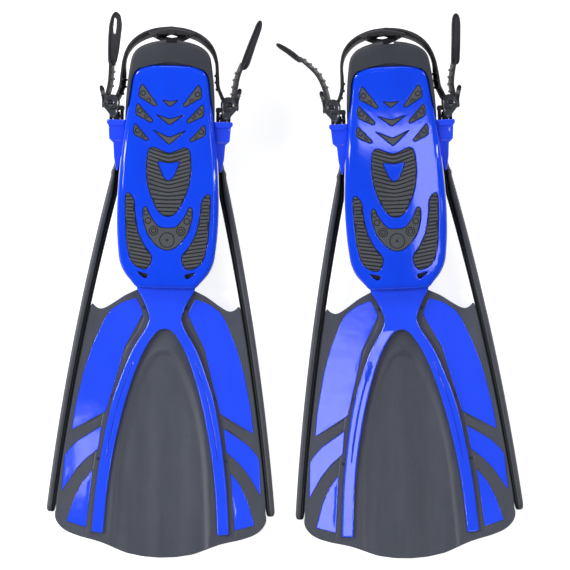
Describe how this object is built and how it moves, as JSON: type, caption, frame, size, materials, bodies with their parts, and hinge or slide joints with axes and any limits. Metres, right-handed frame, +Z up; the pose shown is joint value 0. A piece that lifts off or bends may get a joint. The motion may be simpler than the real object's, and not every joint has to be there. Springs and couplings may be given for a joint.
{
  "type": "pair of open-heel swim fins",
  "caption": "Pair of open-heel swim fins with a hard sole shell, rubber foot pocket, panelled blade, side rails and an adjustable heel strap, lying sole up.",
  "frame": {"origin": "on the floor, under the middle of the pair's bounding box", "axes": "+Y from the blade tips towards the heels, +X towards the right fin, +Z up, out of the soles"},
  "size_m": [0.5015, 0.5744, 0.124],
  "materials": {
    "shell_blue": "gloss",
    "lug_blue": "gloss",
    "panel_blue": "satin",
    "pocket_rubber": "matte",
    "blade_rubber": "matte",
    "tread_rubber": "matte",
    "rail_rubber": "satin",
    "strap_rubber": "satin",
    "buckle_black": "gloss",
    "pin_grey": "satin"
  },
  "bodies": {
    "left_fin": {"left_sole_shell": "shell_blue", "left_foot_pocket": "pocket_rubber", "left_sole_tread": "tread_rubber", "left_blade": "blade_rubber", "left_blade_panel_outer_root": "panel_blue", "left_blade_panel_outer_mid": "panel_blue", "left_blade_panel_outer_tip": "panel_blue", "left_blade_panel_inner_root": "panel_blue", "left_blade_panel_inner_mid": "panel_blue", "left_blade_panel_inner_tip": "panel_blue", "left_side_rail_outer": "rail_rubber", "left_side_rail_inner": "rail_rubber", "left_strap_lug_outer": "lug_blue", "left_strap_lug_inner": "lug_blue", "left_swivel_pin_outer": "pin_grey", "left_swivel_pin_inner": "pin_grey"},
    "left_strap": {"left_heel_strap": "strap_rubber", "left_buckle_outer": "buckle_black", "left_buckle_inner": "buckle_black", "left_roller_pin_outer": "pin_grey", "left_roller_pin_inner": "pin_grey", "left_lever_pin_outer": "pin_grey", "left_lever_pin_inner": "pin_grey"},
    "left_outer_roller": {"left_roller_outer": "pin_grey"},
    "left_inner_roller": {"left_roller_inner": "pin_grey"},
    "left_outer_lever": {"left_release_lever_outer": "buckle_black"},
    "left_inner_lever": {"left_release_lever_inner": "buckle_black"},
    "right_fin": {"right_sole_shell": "shell_blue", "right_foot_pocket": "pocket_rubber", "right_sole_tread": "tread_rubber", "right_blade": "blade_rubber", "right_blade_panel_outer_root": "panel_blue", "right_blade_panel_outer_mid": "panel_blue", "right_blade_panel_outer_tip": "panel_blue", "right_blade_panel_inner_root": "panel_blue", "right_blade_panel_inner_mid": "panel_blue", "right_blade_panel_inner_tip": "panel_blue", "right_side_rail_outer": "rail_rubber", "right_side_rail_inner": "rail_rubber", "right_strap_lug_outer": "lug_blue", "right_strap_lug_inner": "lug_blue", "right_swivel_pin_outer": "pin_grey", "right_swivel_pin_inner": "pin_grey"},
    "right_strap": {"right_heel_strap": "strap_rubber", "right_buckle_outer": "buckle_black", "right_buckle_inner": "buckle_black", "right_roller_pin_outer": "pin_grey", "right_roller_pin_inner": "pin_grey", "right_lever_pin_outer": "pin_grey", "right_lever_pin_inner": "pin_grey"},
    "right_outer_roller": {"right_roller_outer": "pin_grey"},
    "right_inner_roller": {"right_roller_inner": "pin_grey"},
    "right_outer_lever": {"right_release_lever_outer": "buckle_black"},
    "right_inner_lever": {"right_release_lever_inner": "buckle_black"}
  },
  "joints": [
    {"name": "left_strap_swing", "type": "hinge", "parent": "left_fin", "child": "left_strap", "pos_m": [-0.11978, 0.17666, 0.076], "axis": [0.9997, -0.0244, 0], "range_deg": [-45, 8]},
    {"name": "left_outer_roller_turn", "type": "hinge", "parent": "left_strap", "child": "left_outer_roller", "pos_m": [-0.18194, 0.19198, 0.076], "axis": [0, 0, 1], "continuous": true},
    {"name": "left_inner_roller_turn", "type": "hinge", "parent": "left_strap", "child": "left_inner_roller", "pos_m": [-0.05698, 0.18893, 0.076], "axis": [0, 0, 1], "continuous": true},
    {"name": "left_outer_lever_tilt", "type": "hinge", "parent": "left_strap", "child": "left_outer_lever", "pos_m": [-0.1889, 0.18935, 0.076], "axis": [0, 0, 1], "range_deg": [0, 20], "stiffness_Nm_per_rad": 0.02},
    {"name": "left_inner_lever_tilt", "type": "hinge", "parent": "left_strap", "child": "left_inner_lever", "pos_m": [-0.05014, 0.18596, 0.076], "axis": [0, 0, -1], "range_deg": [0, 20], "stiffness_Nm_per_rad": 0.02},
    {"name": "pair_spread", "type": "slide", "parent": "left_fin", "child": "right_fin", "axis": [1, 0, 0], "range_m": [0, 0.15]},
    {"name": "right_strap_swing", "type": "hinge", "parent": "right_fin", "child": "right_strap", "pos_m": [0.1126, 0.1756, 0.076], "axis": [0.9989, 0.0462, 0], "range_deg": [-45, 8]},
    {"name": "right_inner_roller_turn", "type": "hinge", "parent": "right_strap", "child": "right_inner_roller", "pos_m": [0.04953, 0.1865, 0.076], "axis": [0, 0, 1], "continuous": true},
    {"name": "right_outer_roller_turn", "type": "hinge", "parent": "right_strap", "child": "right_outer_roller", "pos_m": [0.17439, 0.19228, 0.076], "axis": [0, 0, 1], "continuous": true},
    {"name": "right_inner_lever_tilt", "type": "hinge", "parent": "right_strap", "child": "right_inner_lever", "pos_m": [0.04277, 0.18338, 0.076], "axis": [0, 0, 1], "range_deg": [0, 20], "stiffness_Nm_per_rad": 0.02},
    {"name": "right_outer_lever_tilt", "type": "hinge", "parent": "right_strap", "child": "right_outer_lever", "pos_m": [0.18141, 0.1898, 0.076], "axis": [0, 0, -1], "range_deg": [0, 20], "stiffness_Nm_per_rad": 0.02}
  ]
}
